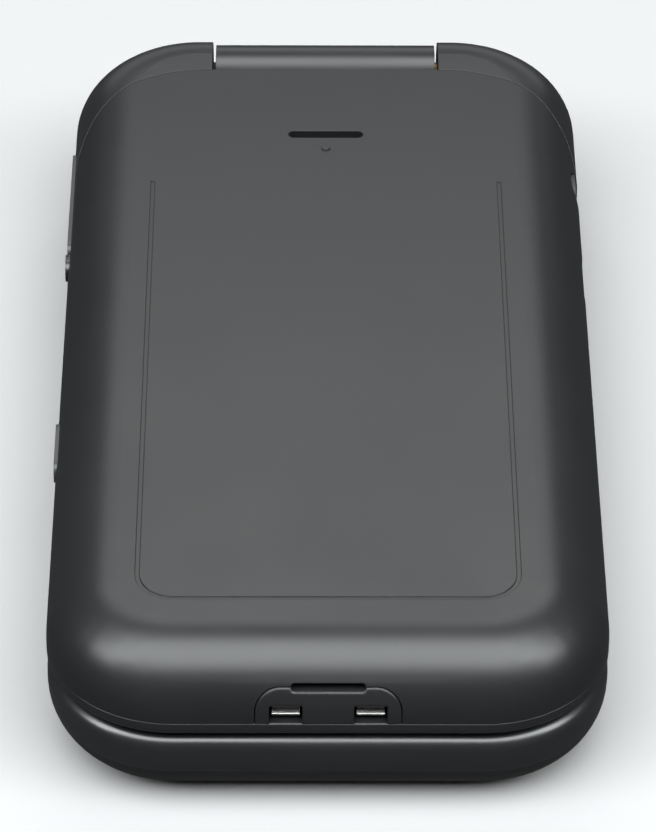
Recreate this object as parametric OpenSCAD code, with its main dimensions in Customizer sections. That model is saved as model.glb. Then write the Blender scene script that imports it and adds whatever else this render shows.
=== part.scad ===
// Flip phone, closed and lying on the outer face of its lid, battery cover up.
// Millimetres. Origin at the middle of the footprint, on the surface it lies on.
// +Y points to the hinge end, +X to the side with the sockets, +Z up.

/* [Body] */
// Width across the closed phone
phone_w = 55; // [54:0.5:58]
// Length from the bottom end to the hinge end
phone_l = 108; // [107:0.5:112]
// Thickness of the lid half
lid_t = 9.15; // [9.1:0.05:9.6]
// Gap between the closed halves
closed_gap = 0.65; // [0.6:0.05:0.8]
// Thickness of the keypad half
base_t = 9.1; // [9:0.05:9.5]
// Plan radius of the two bottom corners
bottom_corner_r = 12.5; // [11.5:0.5:14]
// Plan radius of the two corners at the hinge end
hinge_corner_r = 13.5; // [12.5:0.5:14.5]
// Radius of the rounded edge round the back and round the face of the lid
edge_r = 6.9; // [6.5:0.1:7]
// Height of the keypad case up to the cover seam
band_h = 1.6; // [1.5:0.1:1.7]
// Height of the lid's inner case above the lid seam
bezel_h = 4.15; // [4:0.05:4.4]
// Thickness of the lid's inner case round the main window
bezel_t = 1.75; // [1.7:0.05:2]
// Radius of the edge of the lid's inner face
bezel_edge_r = 1.4; // [1:0.1:1.6]

/* [Walls and clearances] */
// Wall of the battery cover
cover_wall = 1.1; // [1:0.05:1.2]
// Wall of the lid's outer case
lid_wall = 1.3; // [1.2:0.05:1.4]
// Thickness of the plate that carries the keys
key_plate_t = 1.1; // [1:0.05:1.15]
// Clearance between pieces that are fixed to each other
fit = 0.15; // [0.1:0.01:0.2]
// Radial clearance of the turning fits in the hinge
running_fit = 0.05; // [0.03:0.01:0.08]
// Clearance round each key
key_gap = 0.2; // [0.15:0.05:0.25]
// Visible line between the cover and the hinge shoulders
cover_line = 0.1; // [0.1:0.01:0.2]

/* [Hinge] */
// Radius of the hinge barrel and of the ears below the axis
barrel_r = 6.5; // [6.3:0.1:6.7]
// Length of the barrel between the ears
barrel_l = 24.3; // [23:0.1:26]
// Gap between the barrel and each ear
ear_gap = 0.35; // [0.3:0.05:0.5]
// Depth of the hinge axis below the back
axis_depth = 7.1; // [7:0.05:7.2]
// Radius of the bore through the barrel
barrel_bore_r = 4.3; // [4.1:0.05:4.5]
// Clearance between the lid and the turning ears
swing_gap = 0.3; // [0.25:0.05:0.4]
// Length of the spring cartridge
cartridge_l = 13.6; // [13:0.2:14.4]
// Radius of the cam shaft
shaft_r = 1.5; // [1.4:0.05:1.6]
// Wire diameter of the hinge spring
spring_wire_d = 0.9; // [0.8:0.05:0.95]
// Working turns of the hinge spring
spring_turns = 5; // [4:1:6]

/* [Battery cover] */
// Distance of the cover's upper edge from the hinge end
cover_end = 10.05; // [9.7:0.05:10.3]
// Radius of the cover's upper corners in plan
cover_corner_r = 14.8; // [14.2:0.1:15]
// Length of the loudspeaker slot
speaker_slot_l = 8.1; // [7:0.1:10]
// Width of the loudspeaker slot
speaker_slot_w = 1.25; // [1.1:0.05:1.8]
// Distance of the slot from the hinge end
speaker_slot_end = 22.2; // [21:0.1:23]
// Diameter of the raised locating dot
dot_d = 0.95; // [0.8:0.05:1.2]
// Distance of the dot below the slot
dot_offset = 2.55; // [2.2:0.05:3]
// Half width of the panel line on the back
panel_half_w = 18.75; // [17:0.05:19.5]
// Distance of the panel line from the bottom end
panel_end = 9.6; // [9:0.1:11]
// Distance of the panel line's upper ends from the hinge end
panel_top = 27; // [24:0.5:32]
// Corner radius of the panel line
panel_corner_r = 3.75; // [3:0.25:5]
// Width of the panel line
panel_line_w = 0.45; // [0.2:0.05:0.5]
// Width of the fingernail notch
nail_w = 7.2; // [6:0.2:8]
// Height of the fingernail notch above the charging block
nail_h = 0.4; // [0.3:0.1:0.6]

/* [Charging block] */
// Width of the charging block
block_w = 14; // [13.4:0.2:15]
// Height of the charging block above the seam
block_h = 3.9; // [3.7:0.1:4.2]
// Thickness of the charging block, from the bottom end inwards
block_t = 3.4; // [3:0.1:3.8]
// Corner radius of the charging block
block_corner_r = 2.4; // [1.5:0.1:2.6]
// Distance between the two contact centres
contact_pitch = 8.15; // [7.8:0.05:8.6]
// Width of a charging contact
contact_w = 3; // [2.6:0.1:3.2]
// Height of a charging contact
contact_h = 2.1; // [1.8:0.1:2.2]
// Radius of the sprung bar of a charging contact
contact_bar_r = 0.4; // [0.3:0.05:0.5]
// Depth of the dip in the middle of the charging block
block_dip = 0.4; // [0.3:0.1:0.6]

/* [Keys] */
// Distance of the outer number keys from the phone's sides
keypad_side = 6.2; // [6:0.1:7]
// Gap between the number key columns
key_web_x = 1.2; // [1.1:0.1:1.6]
// Gap between the number key rows
key_web_y = 1.8; // [1.6:0.1:2.2]
// Distance of the first number row from the hinge end
first_row_end = 53; // [52.8:0.1:54]
// Distance of the last number row from the bottom end
last_row_bottom = 20.8; // [20:0.1:22]
// Corner radius of the keys in plan
key_corner_r = 2; // [1.5:0.1:2.4]
// Radius of the rounded edge of the key caps
key_edge_r = 0.25; // [0.1:0.05:0.3]
// Height of a key above the keypad face
key_proud = 0.3; // [0.2:0.01:0.32]
// Travel of a key
key_travel = 0.3; // [0.2:0.05:0.35]
// Gap between the navigation ring and the keys beside it
side_key_web = 1.9; // [1.6:0.1:2.4]
// Length of a soft, call or end key
side_key_l = 7.2; // [6.6:0.1:7.4]
// Distance between the soft keys and the keys below them
side_key_pitch = 9; // [8.8:0.1:9.4]
// Outer width of the navigation ring
nav_w = 17; // [16:0.1:17.4]
// Corner radius of the navigation ring
nav_corner_r = 5; // [3.5:0.1:6]
// Distance of the navigation ring from the hinge end
nav_end = 37.2; // [36.8:0.1:37.6]
// Diameter of the OK key
ok_d = 7.6; // [7:0.1:8.4]

/* [Side keys and sockets] */
// Length of the volume rocker
rocker_l = 17.8; // [17:0.1:19]
// Distance of the rocker's middle from the hinge end
rocker_end = 26.8; // [26:0.1:27.5]
// Length of the emergency key
emergency_l = 7.8; // [7.4:0.1:10]
// Distance of the emergency key's middle from the hinge end
emergency_end = 68.4; // [67:0.1:70]
// Length of the fixed stop below the rocker
bump_l = 3; // [2.7:0.1:3.4]
// How far the fixed stop stands out
bump_proud = 0.3; // [0.2:0.05:0.4]
// Height of the side keys
side_key_h = 2.6; // [2.2:0.1:2.8]
// How far the side keys stand out
side_key_proud = 0.2; // [0.15:0.05:0.35]
// Radius of the audio jack's bore
jack_r = 1.78; // [1.75:0.01:1.8]
// Depth of the audio jack's bore
jack_depth = 14; // [13.5:0.5:14.5]
// Wall of the jack's nose, which passes through the side of the phone
jack_nose_wall = 0.5; // [0.4:0.05:0.6]
// Distance of the jack from the hinge end
jack_end = 25.3; // [25:0.1:25.6]
// Width of the micro-USB socket
usb_w = 7.5; // [7.4:0.1:7.8]
// Height of the micro-USB socket
usb_h = 2.45; // [2.4:0.05:2.6]
// Distance of the micro-USB socket from the hinge end
usb_end = 40; // [39:0.5:41]

/* [Inside the base] */
// Distance of the battery from the phone's sides
battery_side = 7.5; // [7.3:0.1:9]
// Distance of the battery from the bottom end
battery_bottom = 21; // [20.5:0.5:24]
// Battery thickness
battery_t = 3.9; // [3.6:0.05:3.95]
// Distance of the battery from the hinge end
battery_end = 37; // [36.5:0.1:38]
// Thickness of the circuit boards
board_t = 0.75; // [0.6:0.05:0.8]
// Distance of the main board from the phone's sides
board_side = 6.5; // [6.3:0.1:7]
// Radius of the screw bosses
boss_r = 1.6; // [1.5:0.05:1.65]

/* [Inside the lid] */
// Distance of the main window from the lid's sides
window_side = 5; // [4.5:0.1:6]
// Distance of the main window from the hinge end
window_top = 24; // [24:0.5:26]
// Distance of the main window from the bottom end
window_bottom = 18; // [17:0.5:20]
// Thickness of the windows
window_t = 0.8; // [0.7:0.05:0.9]
// Distance of the lid's board from the phone's sides
lid_board_side = 4.5; // [4.3:0.1:6]
// Outer window width
outer_window_w = 32; // [28:0.5:34]
// Outer window length
outer_window_l = 26; // [22:0.5:28]
// Outer radius of the camera ring
camera_ring_r = 5.2; // [4.8:0.1:5.6]
// Distance of the camera from the hinge end
camera_end = 24; // [23.5:0.1:24.5]

/* [Hidden] */
$fn = 64;

// Small overlap that lets a cut pass right through a face
over = 1;

// Heights of the main faces
base_z = lid_t + closed_gap;
seam_z = base_z + band_h;
top_z = base_z + base_t;
lid_seam_z = lid_t - bezel_h;
plate_under_z = lid_t - bezel_t;

// Ends and hinge axis
hinge_y = phone_l / 2;
bottom_y = -phone_l / 2;
side_x = phone_w / 2;
axis_y = hinge_y - barrel_r;
axis_z = top_z - axis_depth;
barrel_half = barrel_l / 2;
ear_x = barrel_half + ear_gap;
// The ears' furthest point from the axis is on the back, where the edge rounding begins
swing_r = norm([edge_r - barrel_r, axis_depth]) + swing_gap;
lid_end_z = axis_z - swing_r;
recess_r = barrel_r + ear_gap - 0.05;

// Layers of the base, from the keypad up to the cover
plate_z = base_z + key_plate_t;
flange_t = 0.35;
flange_lip = 0.3;
mat_z = plate_z + flange_t + key_travel + 0.05;
mat_t = 0.5;
dome_z = mat_z + mat_t;
dome_t = 0.15;
board_z = dome_z + dome_t;
board_top = board_z + board_t;
floor_z = board_top + 0.1;
floor_t = 0.6;
bay_z = floor_z + floor_t + 0.05;
cover_in_z = top_z - cover_wall;
rim_t = 1;
rim_top = seam_z + 3.1;
case_wall = 1.6;
keypad_end_y = axis_y - recess_r - 0.1;

// Layers of the lid, from the outer face up to the bezel
outer_display_t = 1.8;
lid_board_z = lid_wall + fit + outer_display_t + fit;
lid_board_end = hinge_y - camera_end - 4.9;
lid_board_bottom = 19.4;
lid_board_top = lid_board_z + board_t;
display_z = lid_board_top + 0.3;
window_z = lid_t - window_t - 0.02;
display_t = window_z - 0.4 - display_z;
cavity_end_y = axis_y - swing_r - lid_wall;
window_w = phone_w - 2 * window_side;
window_l = phone_l - window_top - window_bottom;
window_y = (window_bottom - window_top) / 2;
display_y = window_y - 1.2;
display_half_w = window_w / 2 - 1.25;
lip_h = 1.2;
lip_t = 1;
magnet_side = 3;
earpiece_bottom = 10;

// Keypad places
key_pitch_x = (phone_w - 2 * keypad_side + key_web_x) / 3;
key_pitch_y = (phone_l - first_row_end - last_row_bottom) / 3;
key_w = key_pitch_x - key_web_x;
key_l = key_pitch_y - key_web_y;
key_cols = [1, 0, -1];
nav_y = hinge_y - nav_end;
side_key_w = side_x - keypad_side - nav_w / 2 - side_key_web;
side_key_x = side_x - keypad_side - side_key_w / 2;
soft_y = nav_y + side_key_pitch / 2;
call_y = nav_y - side_key_pitch / 2;
function number_x(i) = key_cols[i % 3] * key_pitch_x;
function number_y(i) = hinge_y - first_row_end - floor(i / 3) * key_pitch_y;
key_centres = concat(
  [for (i = [0:11]) [number_x(i), number_y(i)]],
  [for (s = [1, -1]) [s * side_key_x, soft_y]],
  [for (s = [1, -1]) [s * side_key_x, call_y]],
  [[0, nav_y]]
);
nav_dome_r = 6.2;
dome_centres = concat(key_centres, [for (a = [0:90:270]) [0, nav_y] + nav_dome_r * [cos(a), sin(a)]]);

// Side places
side_z = seam_z + 0.8;
rocker_y = hinge_y - rocker_end;
emergency_y = hinge_y - emergency_end;
jack_y = hinge_y - jack_end;
jack_wall = 0.27;
jack_z = plate_z + 0.05 + jack_r + jack_wall;
jack_hole_r = jack_r + jack_nose_wall + fit;
usb_y = hinge_y - usb_end;
usb_z = plate_z + 0.05 + usb_h / 2;

// Battery and antenna
battery_w = phone_w - 2 * battery_side;
battery_l = phone_l - battery_end - battery_bottom;
battery_y = (battery_bottom - battery_end) / 2;
board_half_w = side_x - board_side;
antenna_bottom = 6.6;
antenna_gap = 4;
antenna_wall = 2;

// Locating ribs inside the cover, which drop into notches in the chassis
locating_y = [bottom_y + 20, emergency_y + emergency_l / 2 + 12.5];
locating_w = 1.6;
locating_t = 0.75;

// Depth of the panel line
panel_line_t = 0.12;

// Small parts on the boards
motor_r = 5;
motor_side = 10.5;
motor_end = 24;
motor_t = 2.8;
can_l = 10;
can_bottom = 6.6;
can_t = 1.2;
microphone_bottom = 8;
microphone_w = 3.6;
microphone_l = 3;

// Fasteners
lid_screw_xy = [for (x = [-1, 1]) for (y = [bottom_y + 12.5, hinge_y - 19.2]) [x * (side_x - 7), y]];
boss_x = side_x - cover_wall - fit - rim_t - 0.1 - boss_r;
base_screw_y = [bottom_y + 14, emergency_y - emergency_l / 2 - 3.7, rocker_y - 20.8];
base_screw_xy = [for (x = [-1, 1]) for (y = base_screw_y) [x * boss_x, y]];
screw_r = 0.8;
lid_screw_grip = 3.8;
screw_head_r = 1.45;
bumper_r = 1.6;
bumper_x = 13;
bumper_xy = [for (x = [-1, 1]) for (y = [bottom_y + 5.5, hinge_y - 17]) [x * bumper_x, y]];

// ---- Shared shapes ----

// Quarter of an edge: depth d, height h, outer top corner rounded by f
module edge_profile(d, h, f) {
  difference() {
    square([d, h]);
    if (f > 0) translate([d - f, h - f]) difference() {
      square(f + over);
      circle(r = f);
    }
  }
}

// Full width section: width w, height h, both top corners rounded by f
module band_profile(w, h, f) {
  union() {
    edge_profile(w / 2, h, f);
    mirror([1, 0]) edge_profile(w / 2, h, f);
  }
}

// Half of a block: w wide, from the XZ plane to its end l along +Y, plan corners r, top edge rounded by f
module half_block(w, l, h, r, f) {
  union() {
    rotate([90, 0, 180]) linear_extrude(l - r) band_profile(w, h, f);
    translate([0, l - r, 0]) rotate([90, 0, 90]) linear_extrude(w - 2 * r, center = true) edge_profile(r, h, f);
    for (s = [0, 1]) mirror([s, 0, 0]) translate([w / 2 - r, l - r, 0])
      rotate_extrude(angle = 90) edge_profile(r, h, f);
  }
}

// Block w by l by h on the XY plane, plan corners rb at -Y and rt at +Y, with its top edge rounded by f
module soft_block(w, l, h, rb, rt, f) {
  union() {
    half_block(w, l / 2, h, rt, f);
    mirror([0, 1, 0]) half_block(w, l / 2, h, rb, f);
  }
}

// The phone's plan shape, drawn in by inset, from z0 to z1, with its top edge rounded by f
module body_form(inset, z0, z1, f) {
  translate([0, 0, z0]) soft_block(phone_w - 2 * inset, phone_l - 2 * inset, z1 - z0,
    bottom_corner_r - inset, hinge_corner_r - inset, f);
}

// The same shape with its lower edge rounded
module lid_form(inset, z0, z1, f) {
  translate([0, 0, z0 + z1]) mirror([0, 0, 1]) body_form(inset, z0, z1, f);
}

// Rounded rectangle centred on the origin
module rounded_rect(w, l, r) {
  difference() {
    square([w, l], center = true);
    for (x = [0, 1]) mirror([x, 0]) for (y = [0, 1]) mirror([0, y])
      translate([w / 2 - r, l / 2 - r]) difference() {
        square(r + over);
        circle(r = r);
      }
  }
}

// Rounded block centred at x, y, from z0 to z1
module rounded_block(x, y, w, l, r, z0, z1) {
  translate([x, y, z0]) linear_extrude(z1 - z0) rounded_rect(w, l, r);
}

// Plain block between two corners
module block(a, b) {
  translate(a) cube(b - a);
}

// Cylinder on the hinge axis between two places along X
module axis_cylinder(r, x0, x1) {
  translate([x0, axis_y, axis_z]) rotate([0, 90, 0]) cylinder(r = r, h = x1 - x0);
}

// Vertical cylinder
module post(x, y, r, z0, z1) {
  translate([x, y, z0]) cylinder(r = r, h = z1 - z0);
}

// Plan area under the battery cover, made larger or smaller by grow
module cover_region(grow, z0, z1) {
  end_y = hinge_y - cover_end;
  cx = side_x - cover_corner_r;
  cy = end_y - cover_corner_r;
  translate([0, 0, z0]) linear_extrude(z1 - z0) difference() {
    translate([-phone_w, -phone_l]) square([2 * phone_w, phone_l + end_y + grow]);
    for (s = [0, 1]) mirror([s, 0]) translate([cx, cy]) difference() {
      square([phone_w, phone_l]);
      circle(r = cover_corner_r + grow);
    }
  }
}

// Helical wire along +X: mean radius r, wire radius w, length l, n turns
module coil(r, w, l, n) {
  steps = 16 * n;
  sides = 8;
  rings = [for (i = [0:steps]) let (a = 360 * n * i / steps, x = w + (l - 2 * w) * i / steps)
    [for (k = [0:sides - 1]) let (b = 360 * k / sides, q = r + w * cos(b))
      [x + w * sin(b), q * cos(a), q * sin(a)]]];
  points = [for (ring = rings) each ring];
  walls = [for (i = [0:steps - 1]) for (k = [0:sides - 1])
    let (a = i * sides + k, b = i * sides + (k + 1) % sides)
    each [[a, b, b + sides], [a, b + sides, a + sides]]];
  last = steps * sides;
  caps = [for (k = [1:sides - 2]) each [[0, k + 1, k], [last, last + k, last + k + 1]]];
  polyhedron(points, concat(walls, caps));
}

// ---- Lid ----

// Inside of the lid's walls, drawn in by inset, up to z1
module lid_hollow(inset, z1) {
  lid_form(inset, inset, z1, edge_r - inset);
}

module lid_outer_case() {
  color("#26282b") difference() {
    union() {
      difference() {
        intersection() {
          lid_form(0, 0, lid_t, edge_r);
          block([-phone_w, -phone_l, 0], [phone_w, phone_l, lid_seam_z]);
        }
        intersection() {
          lid_hollow(lid_wall, lid_t);
          block([-phone_w, -phone_l, 0], [phone_w, cavity_end_y, lid_t]);
        }
      }
      for (p = lid_screw_xy) post(p[0], p[1], boss_r + 0.4, lid_wall - 0.2, plate_under_z);
    }
    axis_cylinder(swing_r, -phone_w, phone_w);
    block([-phone_w, axis_y, lid_end_z], [phone_w, phone_l, lid_t]);
    for (p = lid_screw_xy) post(p[0], p[1], screw_r + running_fit,
      plate_under_z - lid_screw_grip - 0.2, plate_under_z + over);
    rounded_block(0, outer_window_y(), outer_window_w, outer_window_l, 3, -over, window_t + 0.1);
    rounded_block(0, outer_window_y(), outer_window_w - 3, outer_window_l - 3, 2, 0, lid_wall + over);
    post(0, hinge_y - camera_end, camera_ring_r + fit, -over, window_t);
    post(0, hinge_y - camera_end, camera_ring_r - 1.6, 0, lid_wall + over);
  }
}
function outer_window_y() = hinge_y - camera_end - camera_ring_r - 5 - outer_window_l / 2;

module lid_inner_case() {
  color("#2c2e31") difference() {
    union() {
      difference() {
        intersection() {
          lid_form(0, 0, lid_t, edge_r);
          body_form(0, lid_seam_z, lid_t, bezel_edge_r);
        }
        intersection() {
          lid_hollow(lid_wall, plate_under_z);
          block([-phone_w, -phone_l, 0], [phone_w, cavity_end_y, lid_t]);
        }
        for (s = [0, 1]) mirror([s, 0, 0]) axis_cylinder(swing_r, barrel_half, phone_w);
        block([-phone_w, axis_y, 0], [phone_w, phone_l, top_z]);
      }
      lid_lip();
      intersection() {
        axis_cylinder(swing_r - running_fit, -barrel_half, barrel_half);
        block([-barrel_half, axis_y - swing_r, lid_end_z + running_fit], [barrel_half, axis_y, lid_t]);
      }
      block([-barrel_half, axis_y - fit, lid_end_z + running_fit], [barrel_half, axis_y + 2.8, axis_z - 5]);
      axis_cylinder(barrel_r, -barrel_half, barrel_half);
    }
    axis_cylinder(barrel_bore_r, -barrel_half - over, barrel_half + over);
    rounded_block(0, window_y, window_w + 2 * fit, window_l + 2 * fit, 3, window_z - 0.02, lid_t + over);
    rounded_block(0, window_y, window_w - 4, window_l - 4, 2, plate_under_z - over, lid_t + over);
    rounded_block(0, bottom_y + earpiece_bottom, 12, 1.6, 0.79, plate_under_z - over, lid_t + over);
    for (p = lid_screw_xy) {
      post(p[0], p[1], screw_r + running_fit, plate_under_z - over, lid_t);
      post(p[0], p[1], screw_head_r + fit, plate_under_z + 0.5, lid_t + over);
    }
    for (p = bumper_xy) post(p[0], p[1], bumper_r + 0.05, lid_t - 0.5, lid_t + over);
    flex_path(0.9, flex_w + 1);
  }
}

// Lip that locates the inner case in the outer one, with the step that carries it
module lid_lip() {
  lip = lid_wall + fit;
  difference() {
    union() {
      intersection() {
        lid_hollow(lip, lid_t);
        block([-phone_w, -phone_l, lid_seam_z - lip_h], [phone_w, cavity_end_y - fit, lid_seam_z + 0.1]);
      }
      intersection() {
        lid_hollow(lid_wall - 0.1, lid_t);
        block([-phone_w, -phone_l, lid_seam_z], [phone_w, cavity_end_y + 0.1, lid_seam_z + lip_t]);
      }
    }
    intersection() {
      lid_hollow(lip + lip_t, lid_t);
      block([-phone_w, -phone_l, 0], [phone_w, cavity_end_y - fit - lip_t, lid_t]);
    }
  }
}

module outer_window() {
  color("#101214") rounded_block(0, outer_window_y(), outer_window_w - 2 * fit, outer_window_l - 2 * fit, 2.85,
    0.1, window_t + 0.1);
}

module outer_display() {
  color("#30343a") rounded_block(0, outer_window_y(), outer_window_w, outer_window_l, 1,
    lid_wall + fit, lid_wall + fit + outer_display_t);
}

module camera_ring() {
  color("#b8babd") translate([0, hinge_y - camera_end, 0.05]) difference() {
    cylinder(r = camera_ring_r, h = window_t - 0.05);
    translate([0, 0, -over]) cylinder(r = camera_ring_r - 1.6, h = window_t + over);
    translate([0, 0, -over]) cylinder(r = camera_ring_r - 1.1, h = over + 0.3);
  }
}

module camera_lens() {
  color("#15171c") post(0, hinge_y - camera_end, camera_ring_r - 1.6 - running_fit, 0.35, lid_wall);
}

module camera_module() {
  y = hinge_y - camera_end;
  color("#1b1d20") union() {
    rounded_block(0, y, 8.6, 8.6, 1, lid_wall + fit + 1, lid_wall + fit + 4.6);
    post(0, y, 3.2, lid_wall + fit, lid_wall + fit + 1.2);
  }
}

module lid_board() {
  y0 = bottom_y + lid_board_bottom;
  y1 = lid_board_end + 0.3;
  color("#1f5a3a") rounded_block(0, (y0 + y1) / 2, phone_w - 2 * lid_board_side, y1 - y0, 2,
    lid_board_z, lid_board_top);
}

module main_display() {
  color("#3a3d42") union() {
    rounded_block(0, display_y, 2 * display_half_w - 2, window_l - 12, 1, display_z, display_z + display_t);
    rounded_block(0, display_y, 2 * display_half_w, window_l - 10, 1, display_z, display_z + 1);
  }
}

module main_window() {
  color("#0c0d0f") rounded_block(0, window_y, window_w, window_l, 2.85, window_z, lid_t - 0.02);
}

module earpiece() {
  color("#44474b") union() {
    rounded_block(0, bottom_y + earpiece_bottom, 15, 6.4, 2.5, plate_under_z - 2.9, plate_under_z - 0.1);
    rounded_block(0, bottom_y + earpiece_bottom, 11.6, 1.2, 0.59, plate_under_z - 0.2, lid_t - 0.5);
  }
}

module closing_magnet() {
  color("#8d9095") block([display_half_w + 0.05, bottom_y + 20, plate_under_z - 2.4],
    [side_x - magnet_side, bottom_y + 28, plate_under_z - 0.1]);
}

module lid_bumpers() {
  color("#17181a") for (p = bumper_xy) post(p[0], p[1], bumper_r, lid_t - 0.5, base_z - 0.05);
}

module lid_screws() {
  color("#7c7f84") for (p = lid_screw_xy) union() {
    post(p[0], p[1], screw_r, plate_under_z - lid_screw_grip, plate_under_z + 0.6);
    post(p[0], p[1], screw_head_r, plate_under_z + 0.5, plate_under_z + 1.05);
  }
}

module screw_plugs() {
  color("#232527") for (p = lid_screw_xy)
    post(p[0], p[1], screw_head_r + fit - 0.02, plate_under_z + 1.1, lid_t - 0.03);
}

// ---- Hinge ----

cam_x = -barrel_half + 0.2;
cam_t = 2;
cam_r = barrel_bore_r - running_fit - 0.75 - 0.08;
follower_x = cam_x + cam_t + 0.5;
follower_t = 2.2;
spring_x = follower_x + follower_t + 0.05;
cartridge_end_x = cam_x + cartridge_l;
bushing_l = 4.5;

module hinge_cartridge() {
  outer = barrel_bore_r - running_fit;
  inner = outer - 0.75;
  color("#9a9da1") difference() {
    axis_cylinder(outer, cam_x - 0.15, cartridge_end_x);
    axis_cylinder(inner, cam_x - over, cartridge_end_x - 1);
    axis_cylinder(shaft_r + running_fit, cam_x, cartridge_end_x + over);
  }
}

module hinge_spring() {
  length = cartridge_end_x - 1 - 0.05 - spring_x;
  mean = shaft_r + 0.2 + spring_wire_d / 2;
  color("#b5b8bc") translate([spring_x, axis_y, axis_z]) coil(mean, spring_wire_d / 2, length, spring_turns);
}

// Two rounded lobes stand on the face of the follower, towards the cam
module hinge_follower() {
  color("#a3a6aa") union() {
    difference() {
      axis_cylinder(cam_r, follower_x, follower_x + follower_t);
      axis_cylinder(shaft_r + running_fit, follower_x - over, follower_x + follower_t + over);
    }
    for (s = [-1, 1]) translate([follower_x, axis_y, axis_z + s * (shaft_r + cam_r) / 2])
      rotate([0, 90, 0]) cylinder(r = 0.45, h = 0.8, center = true);
  }
}

// Cam head and shaft, with a square tail that sits in the ear
module hinge_shaft() {
  color("#8b8e93") difference() {
    union() {
      axis_cylinder(shaft_r, cam_x, cartridge_end_x + 0.6);
      axis_cylinder(cam_r, cam_x, cam_x + cam_t);
      axis_cylinder(barrel_bore_r - running_fit - 1, -barrel_half, cam_x + 0.1);
      axis_cylinder(barrel_bore_r + 0.3, -ear_x, -barrel_half - 0.04);
      axis_cylinder(barrel_bore_r - 1.2, -ear_x, -barrel_half + 0.1);
      translate([-ear_x - 4, axis_y, axis_z]) rotate([0, 90, 0])
        linear_extrude(4.1) square(5, center = true);
    }
    for (s = [-1, 1]) translate([cam_x + cam_t, axis_y, axis_z + s * (shaft_r + cam_r) / 2])
      rotate([90, 0, 0]) cylinder(r = 0.5, h = 2 * cam_r, center = true);
  }
}

module hinge_bushing() {
  color("#a98f55") difference() {
    union() {
      axis_cylinder(barrel_bore_r - running_fit, barrel_half - bushing_l, barrel_half);
      axis_cylinder(barrel_bore_r + 0.3, barrel_half + 0.04, ear_x);
      axis_cylinder(barrel_bore_r - 0.3, barrel_half - 1, ear_x + 5);
    }
    axis_cylinder(barrel_bore_r - 1.1, barrel_half - bushing_l - over, ear_x + 5 + over);
  }
}

// Strip of flexible circuit from the lid board up into the barrel, seen along X
module flex_path(t, w) {
  translate([flex_x - w / 2, 0, 0]) rotate([90, 0, 90]) linear_extrude(w) for (i = [0:len(flex_points) - 2]) {
    a = flex_points[i];
    b = flex_points[i + 1];
    translate(a) rotate(atan2(b[1] - a[1], b[0] - a[0])) translate([-t / 2, -t / 2])
      square([norm(b - a) + t, t]);
  }
}
flex_w = 3.6;
flex_x = barrel_half - bushing_l - flex_w / 2 - 0.1;
flex_points = [
  [lid_board_end, lid_board_top + 0.15], [lid_board_end + 0.4, plate_under_z - 0.35],
  [cavity_end_y - 1.8, plate_under_z - 0.35], [cavity_end_y - 0.1, plate_under_z + 0.55],
  [axis_y - 1.9, axis_z - barrel_bore_r + 1.1], [axis_y, axis_z - 2.5]
];

module hinge_flex() {
  color("#a8642a") union() {
    flex_path(0.2, flex_w);
    difference() {
      axis_cylinder(2.6, 5, ear_x + 4);
      axis_cylinder(2.3, 5 - over, ear_x + 4 + over);
    }
  }
}

// ---- Base ----

// Hole for one key through the keypad plate
module key_hole(x, y, w, l, r) {
  rounded_block(x, y, w + 2 * key_gap, l + 2 * key_gap, r + key_gap, base_z - over, plate_z + over);
}

module keypad_case() {
  color("#232527") difference() {
    union() {
      difference() {
        lid_form(0, base_z, seam_z, 0.8);
        body_form(case_wall, plate_z, seam_z + over, 0);
      }
      intersection() {
        lid_form(0, base_z, seam_z, 0.8);
        block([-phone_w, keypad_end_y - 1.2, base_z], [phone_w, keypad_end_y, seam_z]);
      }
      for (p = base_screw_xy) post(p[0], p[1], boss_r, plate_z - 0.1, floor_z - 0.1);
    }
    block([-phone_w, keypad_end_y, 0], [phone_w, phone_l, top_z]);
    for (i = [0:11]) key_hole(number_x(i), number_y(i), key_w, key_l, key_corner_r);
    for (s = [-1, 1]) for (y = [soft_y, call_y])
      key_hole(s * side_key_x, y, side_key_w, side_key_l, key_corner_r);
    key_hole(0, nav_y, nav_w, nav_w, nav_corner_r);
    for (p = base_screw_xy) post(p[0], p[1], screw_r + running_fit, plate_z + 0.3, floor_z + over);
    rounded_block(0, bottom_y + microphone_bottom, microphone_w - 0.6, 0.9, 0.4, base_z - over, plate_z + over);
    side_cuts(bump_l + key_gap);
  }
}

// Cuts in the side walls for the side keys, the jack and the micro-USB socket.
// stop makes the rocker's pocket longer, so that it takes in the fixed stop.
module side_cuts(stop) {
  side_pocket(rocker_y - stop / 2, rocker_l + stop);
  side_pocket(emergency_y, emergency_l);
  translate([side_x - 6, jack_y, jack_z]) rotate([0, 90, 0]) cylinder(r = jack_hole_r, h = 6 + over);
  block([side_x - 8, usb_y - usb_w / 2 - 0.25, usb_z - usb_h / 2 - 0.2],
    [side_x + over, usb_y + usb_w / 2 + 0.25, usb_z + usb_h / 2 + 0.2]);
}

module side_pocket(y, l) {
  translate([-side_x - over, y, side_z]) rotate([90, 0, 90]) linear_extrude(4)
    rounded_rect(l + 2 * key_gap, side_key_h + 2 * key_gap, side_key_h / 2);
}

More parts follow.
